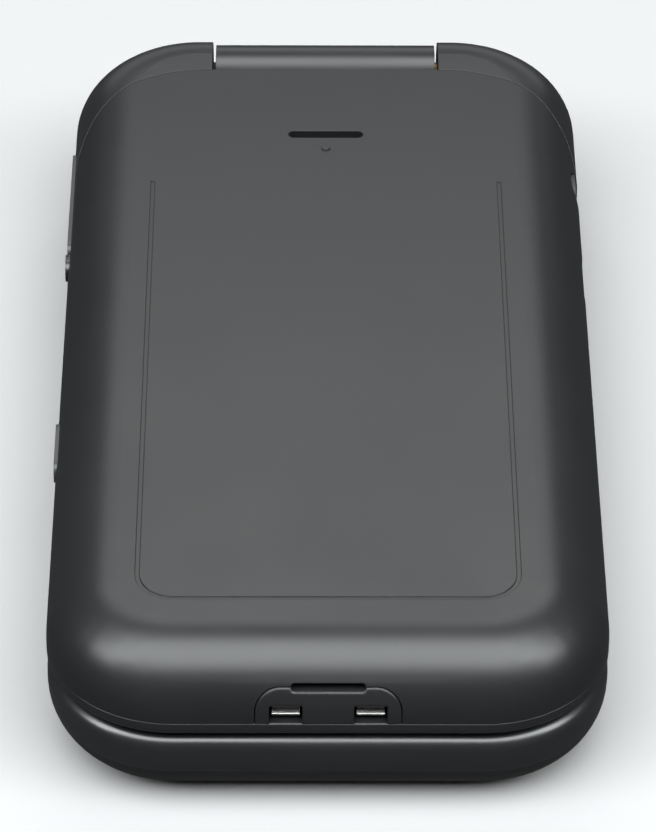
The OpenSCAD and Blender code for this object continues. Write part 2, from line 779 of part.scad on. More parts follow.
module chassis() {
  outer = cover_wall + fit;
  color("#2a2c2f") union() {
    side_bump();
    difference() {
      union() {
        difference() {
          inner_form(outer, seam_z);
          inner_form(outer + rim_t, seam_z - over);
          block([-phone_w, keypad_end_y, 0], [phone_w, phone_l, top_z]);
          block([-phone_w, -phone_l, rim_top], [phone_w, phone_l, top_z]);
        }
        intersection() {
          inner_form(outer + 0.1, seam_z);
          block([-phone_w, bottom_y + 17, floor_z], [phone_w, keypad_end_y, floor_z + floor_t]);
        }
        battery_bay();
        hinge_wall();
        ears();
        charging_block();
      }
      axis_cylinder(recess_r, -ear_x, ear_x);
      block([-ear_x, axis_y, 0], [ear_x, phone_l, top_z + over]);
      translate([-ear_x - 4.05, axis_y, axis_z]) rotate([0, 90, 0]) linear_extrude(4.1 + over)
        square(5.1, center = true);
      axis_cylinder(barrel_bore_r - 0.3 + 0.02, ear_x - over, ear_x + 5.05);
      rounded_block(sim_x, sim_y, sim_w + 0.6, sim_l + 0.6, 1, floor_z - over, floor_z + floor_t + over);
      block([-5.6, hinge_y - battery_end, floor_z - over], [5.6, hinge_y - battery_end + 2.2, floor_z + 4]);
      block([side_x - jack_depth - 1.2, jack_y - 3.4, 0], [side_x - outer - 0.5, jack_y + 3.4, jack_z + 2.3]);
      for (p = base_screw_xy) {
        post(p[0], p[1], screw_r + running_fit, floor_z - over, top_z);
        post(p[0], p[1], screw_head_r + fit, floor_z + floor_t, top_z);
      }
      side_cuts(0);
      for (s = [-1, 1]) contact_window(s);
      locating_features(fit, seam_z + 0.3, rim_top + over, outer + rim_t + 0.1);
    }
  }
}

// Ribs on the cover's side walls, or the notches for them when grown. They reach from the side in to depth.
module locating_features(grow, z0, z1, depth) {
  for (s = [0, 1]) mirror([s, 0, 0]) for (y = locating_y)
    block([side_x - depth, y - locating_w / 2 - grow, z0],
      [side_x - cover_wall + 0.1, y + locating_w / 2 + grow, z1]);
}

// Shape inside the cover, drawn in from the outer surface by inset, from z0 up
module inner_form(inset, z0) {
  body_form(inset, z0, top_z - inset, edge_r - inset);
}

module contact_window(s) {
  translate([s * contact_pitch / 2, bottom_y - over, seam_z + 1.05]) rotate([-90, 0, 0])
    linear_extrude(over + block_t + 0.5) rounded_rect(contact_w + 0.2, contact_h + 0.1, 0.15);
}

// Low walls that hold the battery
module battery_bay() {
  y1 = hinge_y - battery_end + fit;
  y0 = y1 - battery_l - 2 * fit;
  hw = battery_w / 2 + fit;
  difference() {
    block([-hw - 0.9, y0 - 0.9, floor_z], [hw + 0.9, y1 + 0.9, floor_z + 3.6]);
    block([-hw, y0, floor_z - over], [hw, y1, top_z]);
  }
}

// Hollowed wall that faces the barrel, under the cover's upper edge
module hinge_wall() {
  intersection() {
    inner_form(cover_wall + fit, seam_z);
    block([-ear_x - 8, axis_y - recess_r - 2, seam_z], [ear_x + 8, axis_y, top_z]);
    cover_region(-0.1, seam_z, top_z);
  }
}

// Ears that carry the hinge, with the shoulders beside the cover
module ears() {
  difference() {
    union() {
      intersection() {
        body_form(0, axis_z - barrel_r - over, axis_z, 0);
        axis_cylinder(barrel_r, -phone_w, phone_w);
      }
      difference() {
        body_form(0, seam_z, top_z, edge_r);
        cover_region(cover_line, seam_z - over, top_z + over);
      }
      intersection() {
        inner_form(cover_wall + fit, seam_z);
        block([-phone_w, axis_y - barrel_r, seam_z], [phone_w, phone_l, top_z]);
      }
    }
    block([-ear_x, 0, 0], [ear_x, phone_l, top_z + over]);
  }
}

// Outline of the charging block, seen from the bottom end
module block_outline(grow) {
  translate([0, seam_z]) intersection() {
    translate([0, block_h / 2 - 5]) rounded_rect(block_w + 2 * grow, block_h + 10 + 2 * grow, block_corner_r);
    translate([-block_w, -over]) square([2 * block_w, block_h + 2 * over]);
  }
}

// Block in the cover's cut-out that carries the charging contacts
module charging_block() {
  intersection() {
    body_form(0, seam_z, top_z, edge_r);
    translate([0, bottom_y + block_t, 0]) rotate([90, 0, 0]) linear_extrude(6) difference() {
      intersection() {
        block_outline(0);
        translate([-block_w, seam_z]) square([2 * block_w, block_h]);
      }
      nail_outline();
    }
  }
}

// Outline of the fingernail notch, half in the block's dip and half in the cover
module nail_outline() {
  translate([0, seam_z + block_h + (nail_h - block_dip) / 2])
    rounded_rect(nail_w, nail_h + block_dip, (nail_h + block_dip) / 2 - 0.05);
}

// Small end stop below the rocker
module side_bump() {
  translate([-side_x - bump_proud, rocker_y - rocker_l / 2 - key_gap - bump_l / 2, side_z])
    rotate([90, 0, 90]) linear_extrude(bump_proud + cover_wall + fit + rim_t / 2)
      rounded_rect(bump_l, side_key_h, side_key_h / 2 - 0.05);
}

module main_board() {
  color("#1c5137") union() {
    difference() {
      translate([0, (bottom_y + 4 + hinge_y - 15.5) / 2, board_z]) linear_extrude(board_t)
        rounded_rect(2 * board_half_w, hinge_y - 15.5 - bottom_y - 4, 8);
      block([side_x - jack_depth - 1.4, jack_y - 3.6, 0], [side_x, jack_y + 3.6, top_z]);
    }
    for (y = [rocker_y - 5.5, rocker_y + 5.5, emergency_y]) block([-side_x + 2.35, y - 1.7, board_z],
      [-board_half_w + 0.5, y + 1.7, board_z + 0.7]);
  }
}

module shield_cans() {
  color("#b2b5b8") for (x = [[2 - board_half_w, -1], [1, board_half_w - 4]])
    rounded_block((x[0] + x[1]) / 2, bottom_y + can_bottom + can_l / 2, x[1] - x[0], can_l, 0.6,
      board_top, board_top + can_t);
}

module dome_sheet() {
  color("#c9b46a") union() {
    translate([0, keypad_mid_y, dome_z]) linear_extrude(dome_t) rounded_rect(2 * board_half_w, keypad_len, 2);
    for (p = dome_centres) post(p[0], p[1], 2, dome_z - 0.25, dome_z + 0.05);
  }
}

keypad_top_y = jack_y - 3.6;
keypad_low_y = number_y(11) - key_l / 2 - 1;
keypad_mid_y = (keypad_top_y + keypad_low_y) / 2;
keypad_len = keypad_top_y - keypad_low_y;

module keypad_mat() {
  color("#3b3d40") difference() {
    translate([0, keypad_mid_y, mat_z]) linear_extrude(mat_t) rounded_rect(2 * board_half_w, keypad_len, 2);
    for (p = dome_centres) post(p[0], p[1], 2.3, dome_z - 0.3, dome_z + over);
  }
}

module battery() {
  color("#3f4247") difference() {
    rounded_block(0, battery_y, battery_w, battery_l, 1.5, bay_z, bay_z + battery_t);
    for (x = [-3, 0, 3]) block([x - 0.8, hinge_y - battery_end - 0.5, bay_z + 0.8],
      [x + 0.8, hinge_y - battery_end + over, bay_z + 2.6]);
  }
}

module battery_contacts() {
  y = hinge_y - battery_end;
  color("#c8a24a") union() {
    block([-5, y + 0.5, board_top], [5, y + 2, bay_z + 2.8]);
    for (x = [-3, 0, 3]) block([x - 0.5, y - 0.35, bay_z + 1.2], [x + 0.5, y + 0.6, bay_z + 2.2]);
  }
}

sim_w = 16.8;
sim_l = 18.8;
sim_x = -8;
sim_y = battery_y - 4;

module sim_holder() {
  color("#aeb1b5") difference() {
    rounded_block(sim_x, sim_y, sim_w, sim_l, 0.8, board_top, floor_z + floor_t);
    rounded_block(sim_x, sim_y, sim_w - 4.8, sim_l - 5.8, 0.5, floor_z + 0.2, top_z);
  }
}

module loudspeaker() {
  color("#55585c") rounded_block(0, hinge_y - speaker_slot_end - 1, 16, 12, 3.5,
    floor_z + floor_t, cover_in_z - 0.5);
}

module speaker_mesh() {
  color("#0e0f10") rounded_block(0, hinge_y - speaker_slot_end, speaker_slot_l + 2, speaker_slot_w + 2,
    speaker_slot_w / 2 + 0.9, cover_in_z - 0.3, cover_in_z - 0.1);
}

module vibration_motor() {
  color("#9fa2a6") post(motor_side - side_x, hinge_y - motor_end, motor_r, floor_z + floor_t,
    floor_z + floor_t + motor_t);
}

module antenna_carrier() {
  l = battery_bottom - antenna_bottom - antenna_gap;
  y = bottom_y + antenna_bottom + l / 2;
  color("#4a4d51") difference() {
    rounded_block(0, y, 2 * board_half_w, l, 3, board_top + 1.3, cover_in_z - 0.45);
    rounded_block(0, y, 2 * (board_half_w - antenna_wall), l - 2 * antenna_wall, 1.5,
      board_top + 2.4, cover_in_z + over);
  }
}

// A sprung bar in front of a plate, with a foot at the bottom of the window and a tail that runs inwards
module charging_contacts() {
  bar_z = seam_z + contact_h - contact_bar_r - 0.05;
  plate_y = bottom_y + contact_depth + contact_bar_r;
  color("#cfcabd") for (s = [-1, 1]) translate([s * contact_pitch / 2, 0, 0]) union() {
    translate([-contact_w / 2 + 0.2, bottom_y + contact_depth, bar_z]) rotate([0, 90, 0])
      cylinder(r = contact_bar_r, h = contact_w - 0.4);
    block([-contact_w / 2, plate_y - 0.1, seam_z + 0.05],
      [contact_w / 2, plate_y + 0.3, seam_z + contact_h - 0.02]);
    block([-contact_w / 2, bottom_y + 0.3, seam_z + 0.05], [contact_w / 2, plate_y, seam_z + 0.25]);
    block([-0.9, plate_y, seam_z + 0.65], [0.9, bottom_y + block_t, seam_z + 1.45]);
  }
}
contact_depth = 0.9;

module usb_socket() {
  color("#a9acb0") difference() {
    block([side_x - 5.4, usb_y - usb_w / 2, usb_z - usb_h / 2],
      [side_x - 0.3, usb_y + usb_w / 2, usb_z + usb_h / 2]);
    block([side_x - 4.8, usb_y - usb_w / 2 + 0.3, usb_z - usb_h / 2 + 0.3],
      [side_x + over, usb_y + usb_w / 2 - 0.3, usb_z + usb_h / 2 - 0.3]);
  }
}

// Its nose passes through the hole in the side of the phone
module audio_jack() {
  color("#1a1b1d") difference() {
    union() {
      block([side_x - jack_depth - 0.6, jack_y - 3.1, jack_z - jack_r - jack_wall],
        [side_x - 2.4, jack_y + 3.1, jack_z + jack_r + jack_wall]);
      translate([side_x - 2.5, jack_y, jack_z]) rotate([0, 90, 0])
        cylinder(r = jack_r + jack_nose_wall, h = 2.1);
    }
    translate([side_x - jack_depth, jack_y, jack_z]) rotate([0, 90, 0])
      cylinder(r = jack_r, h = jack_depth + over);
  }
}

module microphone() {
  color("#c2a55a") rounded_block(0, bottom_y + microphone_bottom, microphone_w, microphone_l, 0.3,
    plate_z + 0.1, board_z - 0.02);
}

module base_screws() {
  color("#7c7f84") for (p = base_screw_xy) union() {
    post(p[0], p[1], screw_r, plate_z + 0.5, floor_z + floor_t + 0.1);
    post(p[0], p[1], screw_head_r, floor_z + floor_t, floor_z + floor_t + 0.6);
  }
}

// ---- Keys ----

// Key cap with a rounded edge, and a flange behind the plate
module key_cap(x, y, w, l, r) {
  union() {
    translate([x, y, plate_z + 0.1]) mirror([0, 0, 1])
      soft_block(w, l, plate_z + 0.1 - base_z + key_proud, r, r, key_edge_r);
    rounded_block(x, y, w + 2 * flange_lip + 2 * key_gap, l + 2 * flange_lip + 2 * key_gap,
      r + flange_lip, plate_z, plate_z + flange_t);
  }
}

module number_key(i) {
  color("#53565a") key_cap(number_x(i), number_y(i), key_w, key_l, key_corner_r);
}

module side_key(s, y, shade) {
  color(shade) key_cap(s * side_key_x, y, side_key_w, side_key_l, key_corner_r);
}

module nav_ring() {
  color("#6a6d71") difference() {
    key_cap(0, nav_y, nav_w, nav_w, nav_corner_r);
    post(0, nav_y, ok_d / 2 + key_gap, base_z - over, plate_z + 0.1 - flange_t / 2);
    post(0, nav_y, ok_d / 2 + key_gap + flange_lip + 0.3, plate_z - 0.4, plate_z + over);
  }
}

module ok_key() {
  color("#85888c") union() {
    translate([0, nav_y, plate_z]) mirror([0, 0, 1]) rotate_extrude()
      edge_profile(ok_d / 2, plate_z - base_z + key_proud, key_edge_r);
    post(0, nav_y, ok_d / 2 + key_gap + flange_lip, plate_z, plate_z + flange_t);
  }
}

side_key_back_x = case_wall + 0.2 - side_x;
rocker_pivot_r = 0.5;

module side_button(y, l) {
  translate([-side_x - side_key_proud, y, side_z]) rotate([90, 0, 90])
    linear_extrude(side_key_back_x + side_x + side_key_proud)
      rounded_rect(l, side_key_h, side_key_h / 2 - 0.05);
}

// The rocker tips on a round bead in the middle of its back
module volume_rocker() {
  color("#3a3c40") union() {
    side_button(rocker_y, rocker_l);
    post(side_key_back_x, rocker_y, rocker_pivot_r,
      side_z - side_key_h / 2 + 0.1, side_z + side_key_h / 2 - 0.1);
  }
}

module emergency_key() {
  color("#3a3c40") side_button(emergency_y, emergency_l);
}

// ---- Battery cover ----

module battery_cover() {
  slot_y = hinge_y - speaker_slot_end;
  slot_r = speaker_slot_w / 2 - 0.01;
  color("#5c5e61") difference() {
    union() {
      difference() {
        intersection() {
          body_form(0, seam_z, top_z, edge_r);
          cover_region(0, seam_z - over, top_z + over);
        }
        inner_form(cover_wall, seam_z - over);
      }
      post(0, slot_y - dot_offset, dot_d / 2, cover_in_z, top_z + 0.2);
      speaker_rim(slot_y);
      locating_features(0, seam_z + 0.45, rim_top + 0.3, cover_wall + locating_t);
    }
    rounded_block(0, slot_y, speaker_slot_l, speaker_slot_w, slot_r, cover_in_z - over, top_z + over);
    panel_line();
    side_cuts(bump_l + key_gap);
    block([side_x - 6, jack_y - jack_hole_r, seam_z - over], [side_x + over, jack_y + jack_hole_r, jack_z]);
    translate([0, bottom_y + 5, 0]) rotate([90, 0, 0]) linear_extrude(7) union() {
      block_outline(0.1);
      nail_outline();
    }
  }
}

// Rim inside the cover that seals against the loudspeaker, round its mesh
module speaker_rim(y) {
  rim_h = 0.4;
  difference() {
    rounded_block(0, y, speaker_slot_l + 4.4, speaker_slot_w + 4.4, speaker_slot_w / 2 + 2.1,
      cover_in_z - rim_h, cover_in_z + 0.1);
    rounded_block(0, y, speaker_slot_l + 2.4, speaker_slot_w + 2.4, speaker_slot_w / 2 + 1.1,
      cover_in_z - rim_h - over, cover_in_z + 0.05);
  }
}

// Fine line down both sides of the back and round its lower end, open at the top
module panel_line() {
  y0 = bottom_y + panel_end;
  l = hinge_y - panel_top - y0;
  translate([0, y0 + l / 2, top_z - panel_line_t]) linear_extrude(over) difference() {
    rounded_rect(2 * panel_half_w, l, panel_corner_r);
    rounded_rect(2 * (panel_half_w - panel_line_w), l - 2 * panel_line_w, panel_corner_r - panel_line_w);
    translate([-panel_half_w - over, l / 2 - panel_corner_r]) square(2 * (panel_half_w + over));
  }
}

lid_outer_case();
lid_inner_case();
outer_window();
outer_display();
camera_ring();
camera_lens();
camera_module();
lid_board();
main_display();
main_window();
earpiece();
closing_magnet();
lid_bumpers();
lid_screws();
screw_plugs();
hinge_cartridge();
hinge_spring();
hinge_follower();
hinge_flex();
keypad_case();
chassis();
main_board();
shield_cans();
dome_sheet();
keypad_mat();
battery();
battery_contacts();
sim_holder();
loudspeaker();
speaker_mesh();
vibration_motor();
antenna_carrier();
charging_contacts();
usb_socket();
audio_jack();
microphone();
base_screws();
hinge_shaft();
hinge_bushing();
number_key(0);  // key_1
number_key(1);  // key_2
number_key(2);  // key_3
number_key(3);  // key_4
number_key(4);  // key_5
number_key(5);  // key_6
number_key(6);  // key_7
number_key(7);  // key_8
number_key(8);  // key_9
number_key(9);  // key_star
number_key(10);  // key_0
number_key(11);  // key_hash
side_key(1, soft_y, "#5c5f63");  // soft_key_left
side_key(-1, soft_y, "#5c5f63");  // soft_key_right
side_key(1, call_y, "#2f6a44");  // call_key
side_key(-1, call_y, "#7a2e2e");  // end_key
nav_ring();
ok_key();
volume_rocker();
emergency_key();
battery_cover();
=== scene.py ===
# %% [markdown]
# A flip phone, lesson by lesson
#
# The phone lies closed on the outer face of its lid, with the battery cover up and the hinge at the far
# end. Its solids come from the CAD frame: every wall, key, socket and hinge piece is already in place and
# at its real size. What is left for Blender is what the eye reads: moulded plastic with its fine spark
# texture, crisp seams, plated metal, printed digits, woven mesh and soft studio light.

# %% Load the frame and keep the CAD box
import math

import bmesh
import bpy
from mathutils import Matrix, Quaternion, Vector


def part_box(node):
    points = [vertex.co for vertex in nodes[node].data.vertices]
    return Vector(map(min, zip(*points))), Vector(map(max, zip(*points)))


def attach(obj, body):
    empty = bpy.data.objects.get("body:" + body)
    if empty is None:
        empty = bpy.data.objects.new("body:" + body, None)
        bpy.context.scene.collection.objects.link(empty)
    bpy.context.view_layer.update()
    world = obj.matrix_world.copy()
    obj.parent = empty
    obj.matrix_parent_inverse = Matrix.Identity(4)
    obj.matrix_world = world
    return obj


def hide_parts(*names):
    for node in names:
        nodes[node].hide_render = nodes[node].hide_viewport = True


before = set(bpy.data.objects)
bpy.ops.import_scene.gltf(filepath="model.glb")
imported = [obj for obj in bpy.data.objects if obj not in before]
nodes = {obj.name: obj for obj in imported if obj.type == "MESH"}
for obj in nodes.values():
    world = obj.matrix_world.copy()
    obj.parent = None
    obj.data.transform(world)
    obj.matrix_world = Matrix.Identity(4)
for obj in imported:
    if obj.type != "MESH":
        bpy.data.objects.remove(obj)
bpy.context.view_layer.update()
MM = 0.001

# %% [markdown]
# The camera comes first, because every later choice is judged through it. A photograph of a small product
# is taken from far away with a long lens, so the phone's sides converge only a little. The place and the
# lens here were fitted to the phone's outline: half a metre away, 39 degrees above the table, and turned
# by about a third of a degree, as a camera held by hand is.

# %% Camera
CAMERA_PLACE = Vector((-2.79, -393.88, 326.98)) * MM
CAMERA_AIM = Vector((0.161, -4.941, 9.45)) * MM
CAMERA_ROLL = 0.36
LENS_MM = 209.2
SENSOR_MM = 36.0
NEAREST_M = 0.05
FARTHEST_M = 20.0


def add_camera(place, aim, roll):
    """Camera at place, looking at aim, turned about its own axis by roll degrees."""
    data = bpy.data.cameras.new("camera")
    data.lens = LENS_MM
    data.sensor_width = SENSOR_MM
    data.sensor_fit = "AUTO"
    data.clip_start = NEAREST_M
    data.clip_end = FARTHEST_M
    camera = bpy.data.objects.new("camera", data)
    bpy.context.scene.collection.objects.link(camera)
    camera.location = place
    level = (aim - place).to_track_quat("-Z", "Y")
    camera.rotation_euler = (level @ Quaternion((0, 0, 1), math.radians(roll))).to_euler()
    bpy.context.scene.camera = camera


add_camera(CAMERA_PLACE, CAMERA_AIM, CAMERA_ROLL)
print("camera distance in mm:", round((CAMERA_AIM - CAMERA_PLACE).length / MM, 1))

# %% [markdown]
# Dark satin plastic shows little colour of its own. What models its form is the reflection of the lamps.
# Seen from 39 degrees, the flat back mirrors what stands half high behind the phone, and the place where
# the back rolls over at the bottom end mirrors what hangs above and a little in front. So one wide soft box
# overhead gives the bright band at the roll-off and along the lid's edge, a dimmer panel behind lifts the
# flat back out of the black sides, two small boxes at left and right catch the round corners, and a weak
# strip low behind, like a white card near the table, gives the hinge barrel its upper edge. Tones are kept
# as the screen's own curve shows them, so that black plastic stays black. A lamp's watts are worked out
# from how bright its face should be.

# %% Lamps and surround
WHITE = (1.0, 1.0, 1.0)
COOL_WHITE = (0.955, 0.985, 1.0)
PHONE_MIDDLE = (0.0, 0.0, 0.0)
BOTTOM_END = (0.0, -0.05, 0.0)
SURROUND = 0.07


def add_area_lamp(name, place, aim, size, brightness, colour):
    """A soft box whose face has the given brightness, where 1 shows as the screen's white."""
    data = bpy.data.lights.new(name, "AREA")
    data.shape = "RECTANGLE"
    data.size = size[0]
    data.size_y = size[1]
    data.color = colour
    data.energy = brightness * math.pi * size[0] * size[1]
    lamp = bpy.data.objects.new(name, data)
    bpy.context.scene.collection.objects.link(lamp)
    lamp.location = place
    lamp.rotation_euler = (Vector(aim) - Vector(place)).to_track_quat("-Z", "Y").to_euler()


def add_surround(strength):
    """A weak even light from everywhere."""
    world = bpy.data.worlds.new("studio")
    world.use_nodes = True
    background = world.node_tree.nodes["Background"]
    background.inputs["Color"].default_value = (*WHITE, 1.0)
    background.inputs["Strength"].default_value = strength
    bpy.context.scene.world = world


add_area_lamp("soft_box_above", (0.0, -0.28, 0.66), BOTTOM_END, size=(1.05, 0.6), brightness=6.0,
              colour=COOL_WHITE)
add_area_lamp("panel_behind", (0.0, 0.36, 0.44), PHONE_MIDDLE, size=(0.44, 0.22), brightness=2.8,
              colour=WHITE)
add_area_lamp("card_behind", (0.0, 0.75, 0.14), PHONE_MIDDLE, size=(0.8, 0.22), brightness=0.6,
              colour=WHITE)
for name, side in (("left_box", -1), ("right_box", 1)):
    add_area_lamp(name, (side * 0.62, -0.27, 0.52), BOTTOM_END, size=(0.3, 0.36), brightness=8.0,
                  colour=COOL_WHITE)
add_surround(SURROUND)
bpy.context.scene.view_settings.view_transform = "Standard"
print("lamps:", [lamp.name for lamp in bpy.data.lights])

# %% [markdown]
# Colours are picked as the hex values that a screen shows. Blender works in linear light, so one function
# turns them. A second small function gives a node's inputs their values or links, and a third adds a node
# with its settings. Every material below is written with these. A Mix node for colours has its factor at
# input 0, its colours at inputs 6 and 7, and its result at output 2. The values of a noise lie mostly
# between 0.3 and 0.7, so this range is spread over what a noise changes.

# %% Colour and node helpers
NOISE_LOW = 0.3
NOISE_HIGH = 0.7


def linear(hex_colour):
    """An sRGB hex colour as linear RGBA."""
    channels = [int(hex_colour[i:i + 2], 16) / 255 for i in (1, 3, 5)]
    return [c / 12.92 if c <= 0.04045 else ((c + 0.055) / 1.055) ** 2.4 for c in channels] + [1.0]


def shade(hex_colour, factor):
    """The same colour, lighter or darker by a factor."""
    return [min(1.0, c * factor) for c in linear(hex_colour)[:3]] + [1.0]


def feed(tree, node, **inputs):
    """Gives a node's inputs their values or sockets, by name, or by number as i and the number."""
    for key, value in inputs.items():
        by_number = key[0] == "i" and key[1:].isdigit()
        socket = node.inputs[int(key[1:])] if by_number else node.inputs[key.replace("_", " ")]
        if isinstance(value, bpy.types.NodeSocket):
            tree.links.new(value, socket)
        else:
            socket.default_value = value


def add_node(tree, kind, settings=None, **inputs):
    """Adds a node with its settings, which are its properties, and feeds its inputs."""
    node = tree.nodes.new(kind)
    for key, value in (settings or {}).items():
        setattr(node, key, value)
    feed(tree, node, **inputs)
    return node


def new_material(name, **constants):
    """A material, its node tree and its shader, with constants set on the shader's own sockets."""
    material = bpy.data.materials.new(name)
    material.use_nodes = True
    tree = material.node_tree
    shader = tree.nodes["Principled BSDF"]
    feed(tree, shader, **constants)
    return material, tree, shader


def middle(node):
    """The middle of a CAD node's footprint, as x and y."""
    low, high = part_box(node)
    return [(low[i] + high[i]) / 2 for i in (0, 1)]


dressed = set()


def dress(material, *names):
    """Gives CAD nodes their material."""
    for name in names:
        mesh = nodes[name].data
        mesh.materials.clear()
        mesh.materials.append(material)
        dressed.add(name)


print("black plastic in linear light:", [round(c, 4) for c in linear("#1A1B1D")[:3]])

# %% [markdown]
# The casings are polycarbonate, injection moulded in a tool whose faces were spark eroded. That leaves a
# fine even grain, less than a tenth of a millimetre across, which breaks reflections into a satin sheen.
# It is drawn two to three times as coarse as it is, so that it shows at this distance. Two slower changes
# lie over it: handling makes some areas a little smoother and darker than others, and the edges, which the
# Bevel node rounds, catch a thin line of light, as the parting edges of a moulding do. The edges of the
# contact block and of the band at the bottom end are trimmed rounder than those of the hinge ears, so the
# rounding changes along the phone, from the trimmed end to the start of the ears.

# %% Moulded plastic
GRAIN_MM = 0.2
HANDLING_MM = 16.0
MOTTLE = 0.06
ROUGHNESS_CHANGE = 0.03
EAR_EDGE_MM = 0.1
TRIM_END_MM = -40.0
EAR_START_MM = 20.0


def moulded_plastic(name, hex_colour, roughness, grain_depth_mm, edge_mm=0.12, specular=0.5):
    """Satin moulded plastic with spark texture, handling marks and softly broken edges."""
    material, tree, shader = new_material(name, IOR=1.58, Specular_IOR_Level=specular)
    place = add_node(tree, "ShaderNodeTexCoord").outputs["Object"]
    grain = add_node(tree, "ShaderNodeTexNoise", Vector=place, Scale=1 / (GRAIN_MM * MM), Detail=2.0,
                     Roughness=0.6)
    handling = add_node(tree, "ShaderNodeTexNoise", Vector=place, Scale=1 / (HANDLING_MM * MM), Detail=4.0,
                        Roughness=0.6)
    tone = add_node(tree, "ShaderNodeMix", {"data_type": "RGBA"}, i0=handling.outputs["Fac"],
                    i6=shade(hex_colour, 1 - MOTTLE), i7=shade(hex_colour, 1 + MOTTLE))
    rough = add_node(tree, "ShaderNodeMapRange", Value=handling.outputs["Fac"],
                     From_Min=NOISE_LOW, From_Max=NOISE_HIGH,
                     To_Min=roughness - ROUGHNESS_CHANGE, To_Max=roughness + ROUGHNESS_CHANGE)
    axes = add_node(tree, "ShaderNodeSeparateXYZ", Vector=place)
    radius = add_node(tree, "ShaderNodeMapRange", Value=axes.outputs["Y"],
                      From_Min=TRIM_END_MM * MM, From_Max=EAR_START_MM * MM,
                      To_Min=edge_mm * MM, To_Max=EAR_EDGE_MM * MM)
    edge = add_node(tree, "ShaderNodeBevel", {"samples": 6}, Radius=radius.outputs["Result"])
    bump = add_node(tree, "ShaderNodeBump", Strength=1.0, Distance=grain_depth_mm * MM,
                    Height=grain.outputs["Fac"], Normal=edge.outputs["Normal"])
    feed(tree, shader, Base_Color=tone.outputs[2], Roughness=rough.outputs["Result"],
         Normal=bump.outputs["Normal"])
    return material


cover_plastic = moulded_plastic("textured_polycarbonate", "#1A1B1C", 0.38, 0.004)
case_plastic = moulded_plastic("satin_polycarbonate", "#1A1B1D", 0.36, 0.002)
bezel_plastic = moulded_plastic("fine_satin_polycarbonate", "#1C1D1F", 0.3, 0.001, edge_mm=0.2, specular=0.8)
band_plastic = moulded_plastic("trimmed_polycarbonate", "#1A1B1D", 0.34, 0.002, edge_mm=0.35, specular=0.7)
dress(cover_plastic, "battery_cover")
dress(case_plastic, "lid_outer_case")
dress(bezel_plastic, "lid_inner_case")
dress(band_plastic, "chassis", "keypad_case")
print("nodes dressed so far, with the shells:", len(dressed))

# %% [markdown]
# Inside the phone lie smaller mouldings of glass-filled nylon and liquid crystal polymer. They are coarser
# than the shells, because the fibres float to the surface, so they get a deeper grain and little sheen.

# %% Inner mouldings
nylon = moulded_plastic("glass_filled_nylon", "#1A1B1C", 0.55, 0.01)
crystal_polymer = moulded_plastic("liquid_crystal_polymer", "#47494C", 0.5, 0.006)
dress(nylon, "camera_module", "earpiece", "loudspeaker", "audio_jack")
dress(crystal_polymer, "antenna_carrier")
print("nodes dressed so far, with the inner mouldings:", len(dressed))

# %% [markdown]
# The windows are acrylic sheet with a hard coat, printed black on the inside except over the display. The
# hard coat is as smooth as glass, so it mirrors the lamps sharply, and only faint hairlines from a pocket
# dull it. The display shows through the clear part as a slightly lighter, bluish rectangle. Its place and
# size are the display's own, less a border, and a Mapping node turns it into the square from -1 to 1.

# %% Coated windows
HAIRLINE_MM = 0.15
HAIRLINE_TURN = 0.5
HAIRLINE_STRETCH = 0.04
MAIN_BORDER_MM = 3.5
OUTER_BORDER_MM = 4.0


def coated_window(window, display, border_mm):
    """Gloss black window with a clear rectangle over a display, less a border."""
    material, tree, shader = new_material(window + "_hard_coated_acrylic", IOR=1.49, Coat_Weight=0.6,
                                          Coat_Roughness=0.03, Coat_IOR=1.5)
    low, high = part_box(display)
    half_x, half_y = [(high[i] - low[i]) / 2 - border_mm * MM for i in (0, 1)]
    centre_x, centre_y = middle(display)
    place = add_node(tree, "ShaderNodeTexCoord").outputs["Object"]
    centred = add_node(tree, "ShaderNodeMapping", Vector=place,
                       Location=(-centre_x / half_x, -centre_y / half_y, 0.0),
                       Scale=(1 / half_x, 1 / half_y, 0.0))
    axes = add_node(tree, "ShaderNodeSeparateXYZ", Vector=centred.outputs["Vector"])
    across = add_node(tree, "ShaderNodeMath", {"operation": "ABSOLUTE"}, i0=axes.outputs["X"])
    along = add_node(tree, "ShaderNodeMath", {"operation": "ABSOLUTE"}, i0=axes.outputs["Y"])
    reach = add_node(tree, "ShaderNodeMath", {"operation": "MAXIMUM"}, i0=across.outputs[0],
                     i1=along.outputs[0])
    clear = add_node(tree, "ShaderNodeMapRange", Value=reach.outputs[0], From_Min=1.0, From_Max=1.01,
                     To_Min=1.0, To_Max=0.0)
    colour = add_node(tree, "ShaderNodeMix", {"data_type": "RGBA"}, i0=clear.outputs["Result"],
                      i6=linear("#070708"), i7=linear("#17191D"))
    hairs = add_node(tree, "ShaderNodeMapping", Vector=place, Rotation=(0.0, 0.0, HAIRLINE_TURN),
                     Scale=(1.0, HAIRLINE_STRETCH, 1.0))
    wear = add_node(tree, "ShaderNodeTexNoise", Vector=hairs.outputs["Vector"], Scale=1 / (HAIRLINE_MM * MM),
                    Detail=3.0)
    rough = add_node(tree, "ShaderNodeMapRange", Value=wear.outputs["Fac"], From_Min=0.45, From_Max=0.75,
                     To_Min=0.05, To_Max=0.14)
    feed(tree, shader, Base_Color=colour.outputs[2], Roughness=rough.outputs["Result"])
    return material


dress(coated_window("main_window", "main_display", MAIN_BORDER_MM), "main_window")
dress(coated_window("outer_window", "outer_display", OUTER_BORDER_MM), "outer_window")
print("nodes dressed so far, with the windows:", len(dressed))

# %% [markdown]
# Behind the windows are the displays: thin glass cells in a pressed tray. Switched off, a cell is a very
# dark grey with a trace of blue and a fine grid of picture elements, about a sixth of a millimetre apart.
# The grid is drawn twice as coarse.

# %% Liquid crystal cells
PIXEL_MM = 0.32


